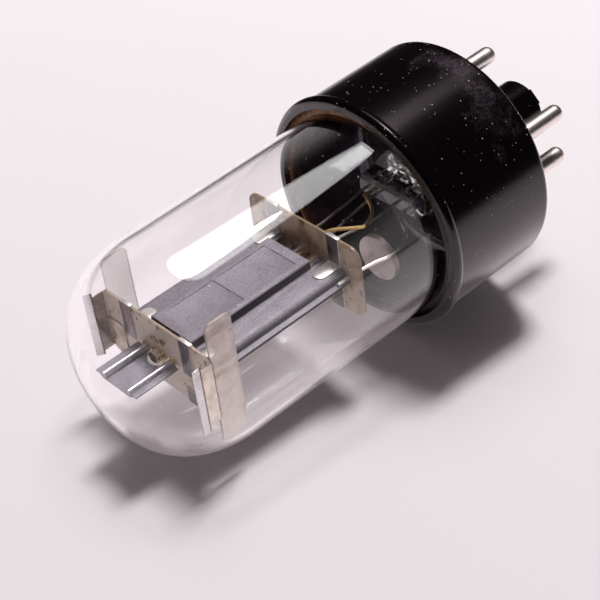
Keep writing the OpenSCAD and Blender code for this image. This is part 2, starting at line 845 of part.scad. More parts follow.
dish_low = mica_low_z - dish_below;
dish_from = anode_lead_at[0] + flange_w * 1.19;
module lead_grid() {
    y = rod_r + lead_d / 2 + fit;
    start = [for (p = [[-rod_x, y, rod_low + rod_below * 0.73],
                       [-rod_x, y, rod_low + rod_below * 0.14],
                       [-rod_x * 1.13, y * 0.3, down(0.21)],
                       [-rod_x * 1.43, 0, down(0.66)]]) from_cage(p)];
    color("dimgray")
        lie() wire(concat(start, through_press(0),
                          [around(115, pin_ring * 0.6, seal_z),
                           around(145, pin_ring * 0.85, up(0.75))],
                          into_pin(5)), lead_d);
}
module lead_cathode() {
    y = cathode_r + lead_thick_d / 2 + fit;
    side = cathode_r + lead_thick_d * 2.6;
    start = [for (p = [[0, y, cathode_low + cathode_below * 0.66],
                       [0, y, cathode_low + cathode_below * 0.16],
                       [0, y, cathode_low - cathode_below * 0.33],
                       [rod_x * 0.48, side * 0.93, down(0.09)],
                       [rod_x * 1.52, side * 1.02, down(0.29)],
                       [rod_x * 1.7, side * 1.02, down(0.36)],
                       [rod_x * 1.39, side * 1.02, down(0.51)],
                       [rod_x * 0.91, side * 0.98, down(0.61)],
                       [-rod_x * 0.17, side * 0.79, down(0.74)],
                       [-rod_x * 0.96, side * 0.28, down(0.84)]])
             from_cage(p)];
    color("goldenrod")
        lie() wire(concat(start, through_press(1),
                          [around(60, pin_ring * 0.39, seal_z),
                           around(20, pin_ring * 0.48, up(0.53)),
                           around(-20, pin_ring * 0.6, up(0.44)),
                           around(-48, pin_ring * 0.8, up(0.63))],
                          into_pin(8)), lead_thick_d);
}
module lead_anode() {
    x = anode_lead_at[0];
    y = anode_lead_at[1];
    start = [for (p = [[x, y, wing_low + box_in_low * 0.75],
                       [x, y, wing_low + box_in_low * 0.33],
                       [x, y, mica_low_z - mica_t],
                       [x + flange_w * 0.62, y, dish_low + dish_below * 0.46],
                       [x + flange_w * 1.12, y, dish_low + dish_below * 0.25],
                       [dish_from, y, dish_low],
                       [dish_from - flange_w * 0.25, y, down(0.48)],
                       [lead_x[4] * 2, y, down(0.65)],
                       [lead_x[4] * 1.4, y / 2, down(0.78)]]) from_cage(p)];
    color("silver")
        lie() wire(concat(start, through_press(4),
                          [around(245, pin_ring * 0.53, seal_z),
                           around(205, pin_ring * 0.62, up(0.47)),
                           around(160, pin_ring * 0.62, up(0.31)),
                           around(120, pin_ring * 0.665, up(0.34)),
                           around(92, pin_ring * 0.825, up(0.6))],
                          into_pin(3)), lead_thick_d);
}
module lead_heater_a() {
    start = [for (p = [[-heater_x, 0, heater_low],
                       [-heater_d, -heater_x, down(0.165)],
                       [lead_x[2] * 0.91, -lead_d, down(0.615)]])
             from_cage(p)];
    color("gray")
        lie() wire(concat(start, through_press(2),
                          [around(50, pin_ring * 0.24, seal_z + room * 0.56),
                           around(32, pin_ring * 0.46, seal_z + room * 0.22),
                           around(29, pin_ring * 0.755, up(0.81))],
                          into_pin(2)), lead_d);
}
module lead_heater_b() {
    start = [for (p = [[heater_x, 0, heater_low],
                       [heater_d, -heater_x, down(0.165)],
                       [lead_x[3] * 0.91, -lead_d, down(0.615)]])
             from_cage(p)];
    color("gray")
        lie() wire(concat(start, through_press(3),
                          [around(262, pin_ring * 0.505, up(0.69))],
                          into_pin(7)), lead_d);
}
module getter_dish() {
    turn = 218;
    away = dish_d / 2 + lead_thick_d / 2 + 2 * fit;
    at = [dish_from + away * cos(turn), anode_lead_at[1] + away * sin(turn)];
    color("silver")
        cage() translate([at[0], at[1], dish_low]) difference() {
            cylinder(h = dish_deep, r = dish_d / 2);
            translate([0, 0, -dish_t])
                cylinder(h = dish_deep, r = dish_d / 2 - dish_t);
        }
}

glass_bulb();
glass_stem();
base_shell();
base_cement();
pin(2);  // pin_2
pin(3);  // pin_3
pin(5);  // pin_5
pin(7);  // pin_7
pin(8);  // pin_8
pin_solder();
mica_upper();
mica_lower();
spacer(-1);  // spacer_left
spacer(1);  // spacer_right
bracket(-1, lip_lean_left);  // bracket_left
bracket(1, lip_lean_right);  // bracket_right
straps_upper();
straps_lower();
anode_front();
anode_back();
grid_rod(-1);  // grid_rod_left
grid_rod(1);  // grid_rod_right
grid_fin();
grid_winding();
cathode_sleeve();
heater();
eyelets();
lead_grid();
lead_cathode();
lead_anode();
lead_heater_a();
lead_heater_b();
getter_dish();
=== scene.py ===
"""Glass triode lying on its side: smooth glass, mirror film, finishes and stage."""

import json
import math
from collections import namedtuple

import bmesh
import bpy
from bpy.props import FloatProperty, FloatVectorProperty, PointerProperty
from bpy.types import Operator, Panel, PropertyGroup
from mathutils import Matrix, Vector


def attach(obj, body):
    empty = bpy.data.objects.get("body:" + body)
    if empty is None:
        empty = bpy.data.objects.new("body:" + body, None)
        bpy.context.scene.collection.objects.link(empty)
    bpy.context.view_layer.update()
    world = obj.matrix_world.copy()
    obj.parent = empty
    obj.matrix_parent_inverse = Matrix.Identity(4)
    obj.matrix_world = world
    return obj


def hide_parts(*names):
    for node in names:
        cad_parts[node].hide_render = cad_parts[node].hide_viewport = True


bl_info = {
    "name": "Glass Triode",
    "version": (1, 0, 0),
    "blender": (4, 5, 0),
    "location": "3D View > Sidebar > Triode",
    "description": "Smooth glass, mirror film, finishes and stage for a glass triode",
    "category": "Object",
}

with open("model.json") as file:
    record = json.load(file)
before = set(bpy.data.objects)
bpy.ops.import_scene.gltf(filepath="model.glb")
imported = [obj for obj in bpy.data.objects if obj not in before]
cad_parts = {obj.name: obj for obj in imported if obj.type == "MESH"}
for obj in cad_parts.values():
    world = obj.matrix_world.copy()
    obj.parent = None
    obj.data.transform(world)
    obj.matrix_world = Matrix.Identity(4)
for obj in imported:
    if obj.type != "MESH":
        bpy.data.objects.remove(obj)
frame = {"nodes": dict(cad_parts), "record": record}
MM = 0.001

# ---- Fixed sizes ---------------------------------------------------------
SPIN_TURNS = 192            # facets round the glass
DOME_RINGS = 72             # rings on the dome
FOOT_RINGS = 12             # rings on the glass's rounded foot
SEAL_R = 11.4 * MM          # ring where the glass is fused to its stem
SEAL_Z = 5.2 * MM           # its height above the base's lower face
FOOT_H = 4.0 * MM           # height of the rounded foot
TUBE_FROM = 10              # first ring of the straight tube, in mm
TUBE_STEP = 3               # between rings of the straight tube, in mm
FILM_GAP = 0.03 * MM        # between the glass and the film
FILM_THICK = 0.03 * MM
FILM_LIFT = 0.05 * MM       # the film's foot above the glass's
FILM_FROM = 4               # first point of the foot that the film covers
FILM_RINGS = (11, 13, 15)   # rings of the film on the straight tube, in mm
FILM_OVER = 1.5 * MM        # how far the thin skin goes past the film's edge
CREASE_SPUN = 35            # sharpest smooth edge of a spun piece, in degrees
CREASE_SHEET = 50           # the same for a sheet with rounded edges
EDGE_ANGLE = 35             # edges sharper than this are rounded, in degrees
EDGE_SEGMENTS = 2
FOLD_OVER = 1.68            # from the upper mica to the brackets' fold, in mm

FLOOR_R = 0.75
LENS = 107.952
CAMERA_AT = (-0.1247466, -0.1247917, 0.1574409)
CAMERA_RIGHT = (0.722435, -0.691437, 0.001582)
CAMERA_DOWN = (-0.450123, -0.472036, -0.758004)
CAMERA_AHEAD = (0.524859, 0.546897, -0.652248)

# ---- Finishes in numbers -------------------------------------------------
# Clean and stained colour, roughness of each, the noise levels between which a
# stain sets in, and how fine the stains are.
Metal = namedtuple("Metal", "clean stained rough stained_rough low high per_mm")
METALS = {
    "Pin Nickel": Metal(
        (0.86, 0.78, 0.74), (0.62, 0.53, 0.48), 0.36, 0.5, 0.45, 0.8, 0.5),
    "Solder": Metal(
        (0.6, 0.6, 0.6), (0.4, 0.39, 0.37), 0.3, 0.5, 0.4, 0.7, 1.0),
    "Bracket Nickel": Metal(
        (0.82, 0.74, 0.65), (0.6, 0.5, 0.42), 0.26, 0.38, 0.4, 0.75, 0.6),
    # a darker copy of the bracket nickel, which paints shade on the left bracket
    "Painted Shade Nickel": Metal(
        (0.42, 0.34, 0.3), (0.22, 0.16, 0.13), 0.26, 0.38, 0.4, 0.75, 0.6),
    "Strap Nickel": Metal(
        (0.8, 0.77, 0.74), (0.62, 0.57, 0.54), 0.3, 0.4, 0.45, 0.85, 0.4),
    "Rod Metal": Metal(
        (0.38, 0.36, 0.39), (0.27, 0.25, 0.28), 0.4, 0.48, 0.4, 0.7, 0.8),
    "Grid Wire": Metal(
        (0.75, 0.6, 0.4), (0.6, 0.45, 0.3), 0.2, 0.3, 0.4, 0.7, 1.0),
    "Sleeve Nickel": Metal(
        (0.62, 0.54, 0.42), (0.4, 0.3, 0.2), 0.2, 0.4, 0.4, 0.7, 1.0),
    "Eyelet Brass": Metal(
        (0.72, 0.52, 0.24), (0.4, 0.24, 0.09), 0.2, 0.4, 0.4, 0.7, 1.2),
    "Lead Grey": Metal(
        (0.66, 0.6, 0.59), (0.45, 0.39, 0.37), 0.38, 0.5, 0.4, 0.7, 0.8),
    "Lead Gold": Metal(
        (0.8, 0.58, 0.26), (0.55, 0.37, 0.14), 0.34, 0.45, 0.45, 0.7, 0.6),
    "Lead Bright": Metal(
        (0.86, 0.82, 0.75), (0.6, 0.52, 0.42), 0.25, 0.35, 0.5, 0.75, 0.6),
    "Dish Nickel": Metal(
        (0.56, 0.5, 0.48), (0.38, 0.33, 0.31), 0.34, 0.5, 0.45, 0.75, 0.5),
}
# Clean and stained colour, colour of the marks, opacity, the noise levels of the
# stains, metallic share, and the noise level at which marks set in.
Mica = namedtuple("Mica", "clean stained mark alpha low high lustre spots")
MICAS = {
    "Upper Mica": Mica((1.0, 0.86, 0.74), (0.86, 0.68, 0.54), (0.34, 0.19, 0.07),
                       0.84, 0.45, 0.75, 0.0, 0.57),
    "Lower Mica": Mica((0.79, 0.61, 0.44), (0.54, 0.36, 0.21), (0.2, 0.1, 0.03),
                       0.92, 0.4, 0.65, 0.0, 0.6),
    "Spacer Mica": Mica((1.0, 0.92, 0.85), (0.84, 0.72, 0.64), (0.42, 0.27, 0.16),
                        0.54, 0.4, 0.6, 0.6, 0.65),
    # a clearer, paler copy of the spacer mica, which paints the light shining through
    # the left spacer
    "Painted Light Mica": Mica((1.0, 0.92, 0.84), (0.92, 0.8, 0.7), (0.42, 0.27, 0.16),
                      0.26, 0.4, 0.6, 0.6, 0.65),
}

GLASS_IOR = 1.58
CLEAR_TINT = (0.99, 0.98, 0.985)
STEM_TINT = (0.9, 0.91, 0.91)
RIM_SHADE = (0.45, 0.41, 0.43)      # what the glass's rim lets through
FILM_DARK = (0.05, 0.022, 0.018)
FILM_BROWN = (0.16, 0.065, 0.022)
FILM_BLUE = (0.07, 0.06, 0.12)
STRAP_PAINTED_SHADE = (0.17, 0.14, 0.14)     # painted shade on strap faces that look along the tube
# painted shade in the crease of the brackets' fold
FOLD_PAINTED_SHADE = (0.12, 0.07, 0.04)
LIP_GREY = (0.7396, 0.7224, 0.7224)
WALL_PAINTED_SHADE = (0.012, 0.01, 0.012)   # painted shade on the anode's upright walls
COAT_DUST = (0.75, 0.73, 0.75)
BASE_DUST = (0.5, 0.48, 0.5)
BASE_HAZE = (0.072, 0.056, 0.068)
CEMENT_AMBER = (0.46, 0.2, 0.06)
CEMENT_STAIN = (0.2, 0.075, 0.025)
# painted shade on one side of the cement
CEMENT_PAINTED_SHADE = (0.035, 0.018, 0.014)
FIN_GREY = (0.24, 0.22, 0.265)
FIN_SHADE = (0.17, 0.155, 0.19)
HEATER_WHITE = (0.8, 0.79, 0.76)
LAMP_WHITE = (1.0, 0.985, 0.99)
FLOOR_MIRRORED = (0.05, 0.04, 0.045)    # far floor, as gloss shows it
FLOOR_GLOW = (0.195, 0.17, 0.178)       # light of the floor seen through glass
ROOM_DIM = (0.022, 0.016, 0.02)
FILL_DIM = (0.03, 0.017, 0.022)
FILL_PALE = (0.2, 0.175, 0.185)


def paint(red, green, blue):
    """Linear colour of a screen colour given in 0 to 255."""
    return tuple(
        (v / 255 / 12.92) if v <= 10 else ((v / 255 + 0.055) / 1.055) ** 2.4
        for v in (red, green, blue)
    )


def rgba(colour):
    """A colour with full alpha, as colour sockets take it."""
    return (*tuple(colour)[:3], 1.0)


# ---- Where the tube lies -------------------------------------------------
def resting_place():
    """Matrix from the upright tube, z up from the base's lower face, to the frame."""
    spigot = next(m for m in frame["record"]["mounts"] if m["name"] == "key_spigot")
    up = -Vector(spigot["axis"]).normalized()
    side = Vector((up.z, 0, -up.x))
    start = Vector(spigot["pos_m"]) + up * spigot["dims"]["length_mm"] * MM / 2
    turned = Matrix((side, Vector((0, 1, 0)), up)).transposed()
    return Matrix.Translation(start) @ turned.to_4x4()


LIE = resting_place()
UP = LIE.to_3x3() @ Vector((0, 0, 1))


# ---- Mesh helpers --------------------------------------------------------
def piece_from(bm, name, finish, crease):
    """Makes an object of a bmesh, smooth up to a crease in degrees."""
    mesh = bpy.data.meshes.new(name)
    bm.to_mesh(mesh)
    bm.free()
    mesh.shade_smooth()
    mesh.set_sharp_from_angle(angle=math.radians(crease))
    mesh.materials.clear()
    mesh.materials.append(finish)
    made = bpy.data.objects.new(name, mesh)
    bpy.context.scene.collection.objects.link(made)
    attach(made, "root")
    return made


def spun(outline, name, finish):
    """A closed outline of (radius, height) points turned about the tube's axis."""
    bm = bmesh.new()
    points = [bm.verts.new((r, 0, z)) for r, z in outline]
    edges = [bm.edges.new(pair) for pair in zip(points, points[1:])]
    edges.append(bm.edges.new((points[-1], points[0])))
    bmesh.ops.spin(
        bm, geom=points + edges, cent=(0, 0, 0), axis=(0, 0, 1),
        angle=2 * math.pi, steps=SPIN_TURNS, use_merge=True,
    )
    bmesh.ops.remove_doubles(bm, verts=bm.verts, dist=1e-7)
    bmesh.ops.recalc_face_normals(bm, faces=bm.faces)
    bmesh.ops.transform(bm, matrix=LIE, verts=bm.verts)
    return piece_from(bm, name, finish, CREASE_SPUN)


def softened(node, name, finish, width):
    """A copy of a CAD node with its edges rounded, which stands for the node."""
    bm = bmesh.new()
    bm.from_mesh(frame["nodes"][node].data)
    bmesh.ops.remove_doubles(bm, verts=bm.verts, dist=2e-6)
    bmesh.ops.dissolve_limit(
        bm, angle_limit=math.radians(1), verts=bm.verts, edges=bm.edges
    )
    sharp = [
        e for e in bm.edges
        if len(e.link_faces) == 2
        and e.calc_face_angle(0) > math.radians(EDGE_ANGLE)
    ]
    bmesh.ops.bevel(
        bm, geom=sharp, offset=width, offset_type="OFFSET", segments=EDGE_SEGMENTS,
        profile=0.5, affect="EDGES", clamp_overlap=True, material=-1,
    )
    made = piece_from(bm, name, finish, CREASE_SHEET)
    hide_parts(node)
    return made


def dress(finish, *names):
    """Gives a finish to CAD nodes."""
    for name in names:
        for slot in frame["nodes"][name].material_slots:
            slot.material = finish


# ---- Node helpers --------------------------------------------------------
NUMBER, COLOUR, VECTOR = "NodeSocketFloat", "NodeSocketColor", "NodeSocketVector"


def add(tree, kind, settings=None, inputs=None):
    """Adds a node, sets it, and links or fills its inputs."""
    made = tree.nodes.new(kind)
    made.location = (220 * (len(tree.nodes) % 9), -260 * (len(tree.nodes) // 9))
    for name, value in (settings or {}).items():
        setattr(made, name, value)
    for name, value in (inputs or {}).items():
        if isinstance(value, bpy.types.NodeSocket):
            tree.links.new(value, made.inputs[name])
        else:
            made.inputs[name].default_value = value
    return made


def reckon(tree, operation, *values):
    """Result of one sum on one to three numbers."""
    made = add(
        tree, "ShaderNodeMath", {"operation": operation}, dict(enumerate(values))
    )
    return made.outputs[0]


def along(tree, place, way):
    """How far a place or a direction reaches along a way."""
    made = add(
        tree, "ShaderNodeVectorMath", {"operation": "DOT_PRODUCT"}, {0: place, 1: way}
    )
    return made.outputs["Value"]


def reach(tree, place):
    """Length of a vector."""
    made = add(tree, "ShaderNodeVectorMath", {"operation": "LENGTH"}, {0: place})
    return made.outputs["Value"]


def ramp(tree, value, low, high, first=0.0, last=1.0):
    """A value taken from low and high to first and last, softly."""
    made = add(
        tree, "ShaderNodeMapRange", {"interpolation_type": "SMOOTHSTEP"},
        {0: value, 1: low, 2: high, 3: first, 4: last},
    )
    return made.outputs[0]


def blend(tree, mask, first, second):
    """Colour that goes from the first to the second as the mask rises."""
    made = add(
        tree, "ShaderNodeMix", {"data_type": "RGBA"}, {0: mask, 6: first, 7: second}
    )
    return made.outputs[2]


def facing(tree, way, low, high, first=0.0, last=1.0):
    """Mask of the faces that look along a way, either side."""
    look = add(tree, "ShaderNodeTexCoord")
    size = reckon(tree, "ABSOLUTE", along(tree, look.outputs["Normal"], way))
    return ramp(tree, size, low, high, first, last)


def bump(tree, shader, height, strength, depth):
    """Roughens a finish by a height."""
    made = add(
        tree, "ShaderNodeBump", None,
        {"Strength": strength, "Distance": depth, "Height": height},
    )
    tree.links.new(made.outputs[0], shader.inputs["Normal"])


def new_finish(name):
    """A material with one shader: the material, its tree and the shader."""
    finish = bpy.data.materials.new(name)
    finish.use_nodes = True
    tree = finish.node_tree
    tree.nodes.clear()
    out = add(tree, "ShaderNodeOutputMaterial")
    shader = add(tree, "ShaderNodeBsdfPrincipled")
    tree.links.new(shader.outputs[0], out.inputs["Surface"])
    return finish, tree, shader


# ---- Shared node groups --------------------------------------------------
def new_group(name, inputs, outputs):
    """A shader node group with its sockets, given as (name, kind, default)."""
    tree = bpy.data.node_groups.new(name, "ShaderNodeTree")
    for label, kind, value in inputs:
        socket = tree.interface.new_socket(label, in_out="INPUT", socket_type=kind)
        if value is not None:
            socket.default_value = value
    for label, kind in outputs:
        tree.interface.new_socket(label, in_out="OUTPUT", socket_type=kind)
    return tree, add(tree, "NodeGroupInput"), add(tree, "NodeGroupOutput")


def group_upright():
    """Place in the upright tube, in millimetres, and its height and radius."""
    tree, _, out = new_group(
        "Upright Place", [], [("Place", VECTOR), ("Height", NUMBER), ("Radius", NUMBER)]
    )
    place = add(tree, "ShaderNodeTexCoord")
    turn = add(
        tree, "ShaderNodeMapping", {"vector_type": "TEXTURE"},
        {
            "Vector": place.outputs["Object"],
            "Location": LIE.to_translation(),
            "Rotation": LIE.to_euler(),
            "Scale": (MM, MM, MM),
        },
    )
    parts = add(tree, "ShaderNodeSeparateXYZ", None, {0: turn.outputs[0]})
    flat = add(
        tree, "ShaderNodeCombineXYZ", None, {0: parts.outputs[0], 1: parts.outputs[1]}
    )
    tree.links.new(turn.outputs[0], out.inputs["Place"])
    tree.links.new(parts.outputs[2], out.inputs["Height"])
    tree.links.new(reach(tree, flat.outputs[0]), out.inputs["Radius"])
    return tree


def group_specks():
    """Scattered dust specks: a mask that is 1 on a speck."""
    tree, given, out = new_group(
        "Dust Specks",
        [("Place", VECTOR, None), ("Per mm", NUMBER, 2.0), ("Share", NUMBER, 0.1),
         ("Size", NUMBER, 0.2)],
        [("Mask", NUMBER)],
    )
    bend = add(
        tree, "ShaderNodeTexNoise", None,
        {"Vector": given.outputs["Place"], "Scale": 2.5, "Detail": 2.0},
    )
    moved = add(
        tree, "ShaderNodeMix", {"data_type": "VECTOR"},
        {0: 0.16, 4: given.outputs["Place"], 5: bend.outputs["Color"]},
    )
    cells = add(
        tree, "ShaderNodeTexVoronoi", None,
        {"Vector": moved.outputs[1], "Scale": given.outputs["Per mm"]},
    )
    chance = add(tree, "ShaderNodeSeparateColor", None, {0: cells.outputs["Color"]})
    kept = reckon(tree, "LESS_THAN", chance.outputs[0], given.outputs["Share"])
    size = reckon(tree, "MULTIPLY", chance.outputs[1], given.outputs["Size"])
    near = reckon(tree, "LESS_THAN", cells.outputs["Distance"], size)
    tree.links.new(reckon(tree, "MULTIPLY", kept, near), out.inputs["Mask"])
    return tree


def group_mottle():
    """Two colours mixed in soft patches, with the mask of the second."""
    tree, given, out = new_group(
        "Mottle",
        [("Place", VECTOR, None), ("Clean", COLOUR, (0.8, 0.8, 0.8, 1)),
         ("Stained", COLOUR, (0.4, 0.3, 0.2, 1)), ("Per mm", NUMBER, 0.5),
         ("Low", NUMBER, 0.4), ("High", NUMBER, 0.7)],
        [("Color", COLOUR), ("Mask", NUMBER)],
    )
    cloud = add(
        tree, "ShaderNodeTexNoise", None,
        {"Vector": given.outputs["Place"], "Scale": given.outputs["Per mm"],
         "Detail": 5.0, "Roughness": 0.62},
    )
    mask = ramp(tree, cloud.outputs[0], given.outputs["Low"], given.outputs["High"])
    mixed = blend(tree, mask, given.outputs["Clean"], given.outputs["Stained"])
    tree.links.new(mixed, out.inputs["Color"])
    tree.links.new(mask, out.inputs["Mask"])
    return tree


def group_grain():
    """Fine grain that varies a colour, with a height for a bump."""
    tree, given, out = new_group(
        "Fine Grain",
        [("Place", VECTOR, None), ("Color", COLOUR, (0.5, 0.5, 0.5, 1)),
         ("Per mm", NUMBER, 8.0), ("Amount", NUMBER, 0.2)],
        [("Color", COLOUR), ("Height", NUMBER)],
    )
    fine = add(
        tree, "ShaderNodeTexNoise", None,
        {"Vector": given.outputs["Place"], "Scale": given.outputs["Per mm"],
         "Detail": 3.0, "Roughness": 0.7},
    )
    centred = reckon(tree, "SUBTRACT", fine.outputs[0], 0.5)
    swing = reckon(tree, "MULTIPLY_ADD", centred, given.outputs["Amount"], 1.0)
    scaled = add(
        tree, "ShaderNodeVectorMath", {"operation": "SCALE"},
        {0: given.outputs["Color"], "Scale": swing},
    )
    tree.links.new(scaled.outputs[0], out.inputs["Color"])
    tree.links.new(fine.outputs[0], out.inputs["Height"])
    return tree


GROUP_MAKERS = {
    "upright": group_upright, "specks": group_specks,
    "mottle": group_mottle, "grain": group_grain,
}
GROUPS = {}


def placed(tree, name, inputs=None):
    """Places a shared node group, which is built once."""
    if name not in GROUPS:
        GROUPS[name] = GROUP_MAKERS[name]()
    return add(tree, "ShaderNodeGroup", {"node_tree": GROUPS[name]}, inputs)


def mottle(tree, place, per_mm, low, high, clean=None, stained=None):
    """Soft patches, of two colours where they are given."""
    inputs = {"Place": place, "Per mm": per_mm, "Low": low, "High": high}
    if stained is not None:
        inputs.update({"Clean": clean, "Stained": stained})
    return placed(tree, "mottle", inputs)


def grain(tree, place, colour, per_mm, amount):
    """Fine grain on a colour."""
    return placed(tree, "grain", {
        "Place": place, "Color": colour, "Per mm": per_mm, "Amount": amount})


def specks(tree, place, per_mm, share, size):
    """Mask of dust specks."""
    made = placed(tree, "specks", {
        "Place": place, "Per mm": per_mm, "Share": share, "Size": size})
    return made.outputs["Mask"]


# ---- Finishes ------------------------------------------------------------
def finish_glass(name, tint, see_through=0.99, haze=0.012):
    """Clear glass that lets the lamps through, less so at its rim."""
    finish, tree, shader = new_finish(name)
    shader.inputs["Base Color"].default_value = rgba(tint)
    shader.inputs["Transmission Weight"].default_value = 1.0
    shader.inputs["IOR"].default_value = GLASS_IOR
    place = placed(tree, "upright").outputs["Place"]
    smear = mottle(tree, place, per_mm=0.12, low=0.55, high=0.8)
    film = ramp(tree, smear.outputs["Mask"], 0.0, 1.0, haze * 0.5, haze)
    dust = specks(tree, place, per_mm=1.1, share=0.22, size=0.12)
    tree.links.new(
        reckon(tree, "MULTIPLY_ADD", dust, 0.6, film), shader.inputs["Roughness"])
    rays = add(tree, "ShaderNodeLightPath")
    pass_on = reckon(tree, "MAXIMUM", rays.outputs["Is Shadow Ray"],
                     rays.outputs["Is Diffuse Ray"])
    slant = add(tree, "ShaderNodeLayerWeight", None, {"Blend": 0.35})
    rim = ramp(tree, slant.outputs["Facing"], 0.6, 1.0)
    pale = (see_through, see_through, see_through, 1)
    clear = add(tree, "ShaderNodeBsdfTransparent", None,
                {"Color": blend(tree, rim, pale, rgba(RIM_SHADE))})
    both = add(
        tree, "ShaderNodeMixShader", None,
        {0: pass_on, 1: shader.outputs[0], 2: clear.outputs[0]},
    )
    tree.links.new(both.outputs[0], tree.nodes["Material Output"].inputs["Surface"])
    return finish


def finish_film(name, top):
    """Mirror film that thins to brown and then to nothing at its upper edge, in mm."""
    finish, tree, shader = new_finish(name)
    place = placed(tree, "upright")
    wave = add(
        tree, "ShaderNodeTexNoise", None,
        {"Vector": place.outputs["Place"], "Scale": 0.35, "Detail": 3.0},
    )
    edge = reckon(
        tree, "MULTIPLY_ADD", wave.outputs[0], 1.4, place.outputs["Height"])
    thick = ramp(tree, edge, top - 0.9, top + 0.6, 1.0, 0.0)
    veil = ramp(tree, edge, top + 0.1, top + 1.1, 1.0, 0.0)
    low = ramp(tree, edge, 6.5, 12.0, 1.0, 0.0)
    body = blend(tree, low, rgba(FILM_DARK), rgba(FILM_BLUE))
    tree.links.new(
        blend(tree, thick, rgba(FILM_BROWN), body), shader.inputs["Base Color"])
    tree.links.new(veil, shader.inputs["Alpha"])
    tree.links.new(ramp(tree, thick, 0.0, 1.0, 0.2, 0.5), shader.inputs["Metallic"])
    shader.inputs["Roughness"].default_value = 0.07
    return finish


def finish_metal(name, painted_shade=None, fold=None):
    """Metal with soft stains, and painted shade on faces along the tube. Past the
    height of a fold, in mm, the colour turns a neutral grey, with painted shade in the
    crease."""
    look = METALS[name]
    finish, tree, shader = new_finish(name)
    place = placed(tree, "upright")
    patches = mottle(tree, place.outputs["Place"], look.per_mm, look.low, look.high,
                     rgba(look.clean), rgba(look.stained))
    fine = grain(tree, place.outputs["Place"], patches.outputs["Color"],
                 per_mm=6.0, amount=0.35)
    shown = fine.outputs["Color"]
    if painted_shade:
        # painted shade on the faces that look along the tube
        shown = blend(tree, facing(tree, UP, 0.6, 0.9), shown, rgba(painted_shade))
    if fold:
        past = reckon(tree, "SUBTRACT", place.outputs["Height"], fold)
        shown = blend(tree, ramp(tree, past, -0.1, 0.1), shown, rgba(LIP_GREY))
        # painted shade along the crease of the fold
        crease = ramp(tree, reckon(tree, "ABSOLUTE", past), 0.04, 0.16, 1.0, 0.0)
        shown = blend(tree, crease, shown, rgba(FOLD_PAINTED_SHADE))
    tree.links.new(shown, shader.inputs["Base Color"])
    shader.inputs["Metallic"].default_value = 1.0
    tree.links.new(
        ramp(tree, patches.outputs["Mask"], 0.0, 1.0, look.rough, look.stained_rough),
        shader.inputs["Roughness"],
    )
    bump(tree, shader, fine.outputs["Height"], strength=0.06, depth=0.02 * MM)
    return finish


def finish_coat(name, colour, shade, rough, metallic, wall_shade):
    """Grey coat with a fine speckle and dust; its upright walls carry painted shade by
    a share.
    """
    finish, tree, shader = new_finish(name)
    place = placed(tree, "upright").outputs["Place"]
    patches = mottle(tree, place, per_mm=0.35, low=0.42, high=0.75,
                     clean=rgba(colour), stained=rgba(shade))
    # painted shade on the upright walls, by the given share
    upright = facing(tree, (0, 1, 0), 0.55, 0.95, first=0.0, last=wall_shade)
    painted_shade = blend(tree, upright, patches.outputs["Color"], rgba(WALL_PAINTED_SHADE))
    speckle = grain(tree, place, painted_shade, per_mm=3.6, amount=1.7)
    dust = specks(tree, place, per_mm=1.3, share=0.3, size=0.13)
    tree.links.new(
        blend(tree, dust, speckle.outputs["Color"], rgba(COAT_DUST)),
        shader.inputs["Base Color"],
    )
    tree.links.new(
        ramp(tree, dust, 0.0, 1.0, metallic, 0.0), shader.inputs["Metallic"])
    shader.inputs["Roughness"].default_value = rough
    bump(tree, shader, speckle.outputs["Height"], strength=0.35, depth=0.05 * MM)
    return finish


def finish_mica(name, flat):
    """Cloudy mica that light passes, with marks and edges browner and less clear.
    Its flat faces look along the way that is given."""
    look = MICAS[name]
    finish, tree, shader = new_finish(name)
    place = placed(tree, "upright").outputs["Place"]
    cloud = mottle(tree, place, per_mm=0.45, low=look.low, high=look.high,
                   clean=rgba(look.clean), stained=rgba(look.stained))
    marks = mottle(tree, place, per_mm=0.9, low=look.spots, high=look.spots + 0.07,
                   clean=cloud.outputs["Color"], stained=rgba(look.mark))
    rim = facing(tree, flat, 0.5, 0.9, first=1.0, last=0.0)
    brown = rgba([c * 0.6 for c in look.stained])
    tree.links.new(
        blend(tree, rim, marks.outputs["Color"], brown), shader.inputs["Base Color"])
    solid = reckon(tree, "MAXIMUM", rim, marks.outputs["Mask"])
    tree.links.new(
        ramp(tree, solid, 0.0, 1.0, look.alpha, min(1.0, look.alpha + 0.4)),
        shader.inputs["Alpha"],
    )
    shader.inputs["Metallic"].default_value = look.lustre
    shader.inputs["Roughness"].default_value = 0.3
    bump(tree, shader, cloud.outputs["Mask"], strength=0.2, depth=0.05 * MM)
    return finish


